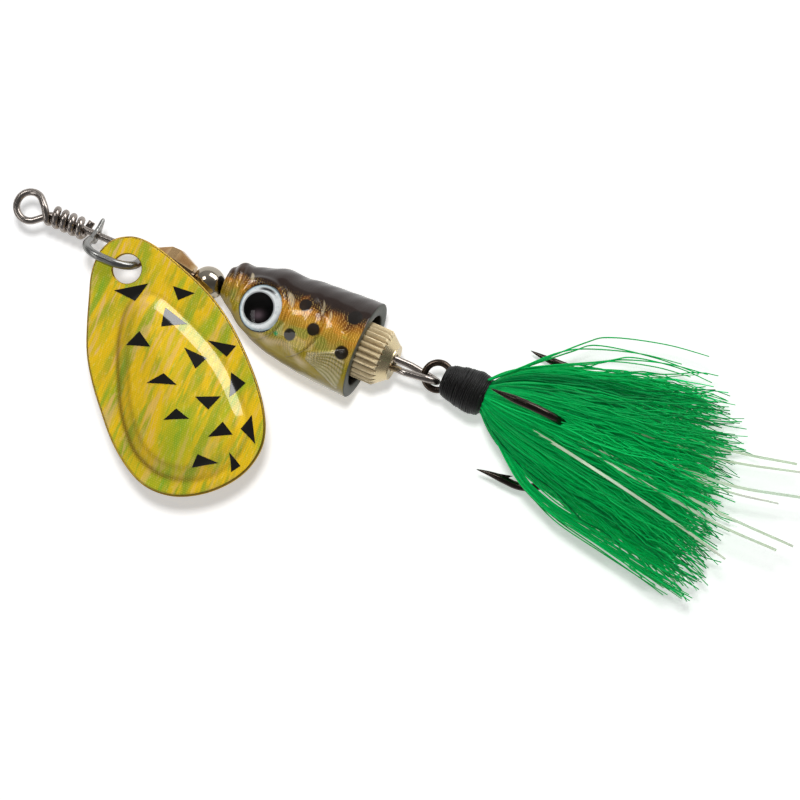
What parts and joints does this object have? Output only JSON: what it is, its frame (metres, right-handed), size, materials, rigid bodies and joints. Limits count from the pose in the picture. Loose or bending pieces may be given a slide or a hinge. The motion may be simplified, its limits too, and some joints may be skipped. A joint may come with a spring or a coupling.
{
  "type": "inline spinner fishing lure",
  "caption": "Inline spinner: wire shaft, swinging teardrop blade on a clevis, beads, fish-head bell, knurled weight and a hair-dressed treble hook.",
  "frame": {"origin": "centre of the round line eye at the front of the wire", "axes": "+X along the wire toward the tail, +Z toward the back of the fish head, -Y toward its left side"},
  "size_m": [0.0987, 0.0245, 0.034],
  "materials": {
    "steel_wire": "bright spring wire",
    "brass": "polished",
    "nickel": "bright nickel",
    "blade_metal": "polished edge",
    "holo_film": "glossy holographic film with dark marks",
    "head_paint": "clear-coated holographic paint",
    "eye_foil": "silver foil with black pupil",
    "clear_lens": "clear domed resin",
    "hook_steel": "black nickel",
    "black_thread": "waxed thread",
    "green_hair": "dyed hair",
    "tinsel": "pearl flash film"
  },
  "bodies": {
    "wire": {"wire_shaft": "steel_wire"},
    "clevis_body": {"clevis": "nickel"},
    "blade_body": {"blade": "blade_metal", "blade_film": "holo_film"},
    "bushing_body": {"faceted_bushing": "brass"},
    "bead_body": {"ball_bead": "nickel"},
    "head_body": {"head_shell": "head_paint", "eye_disc_left": "eye_foil", "eye_disc_right": "eye_foil", "eye_lens_left": "clear_lens", "eye_lens_right": "clear_lens"},
    "weight_body": {"knurled_weight": "brass"},
    "treble_body": {"hook_double": "hook_steel", "hook_single": "hook_steel", "thread_wrap": "black_thread", "hair_skirt": "green_hair", "flash_strand_1": "tinsel", "flash_strand_2": "tinsel", "flash_strand_3": "tinsel", "flash_strand_4": "tinsel", "flash_strand_5": "tinsel", "flash_strand_6": "tinsel", "flash_strand_7": "tinsel"}
  },
  "joints": [
    {"name": "clevis_spin", "type": "hinge", "parent": "wire", "child": "clevis_body", "pos_m": [0.0119, 0, 0], "axis": [1, 0, 0], "continuous": true},
    {"name": "blade_swing", "type": "hinge", "parent": "clevis_body", "child": "blade_body", "pos_m": [0.0146, -0.00348, -0.0019], "axis": [0, 1, 0], "range_deg": [0, 34]},
    {"name": "bushing_spin", "type": "hinge", "parent": "wire", "child": "bushing_body", "pos_m": [0.01814, 0, 0], "axis": [1, 0, 0], "continuous": true},
    {"name": "bead_spin", "type": "hinge", "parent": "wire", "child": "bead_body", "pos_m": [0.02297, 0, 0], "axis": [1, 0, 0], "continuous": true},
    {"name": "head_spin", "type": "hinge", "parent": "wire", "child": "head_body", "pos_m": [0.034, 0, 0], "axis": [1, 0, 0], "continuous": true},
    {"name": "weight_spin", "type": "hinge", "parent": "wire", "child": "weight_body", "pos_m": [0.0427, 0, 0], "axis": [1, 0, 0], "continuous": true},
    {"name": "treble_swing", "type": "hinge", "parent": "wire", "child": "treble_body", "pos_m": [0.05205, 0, 0], "axis": [0, 1, 0], "range_deg": [-60, 60]}
  ]
}
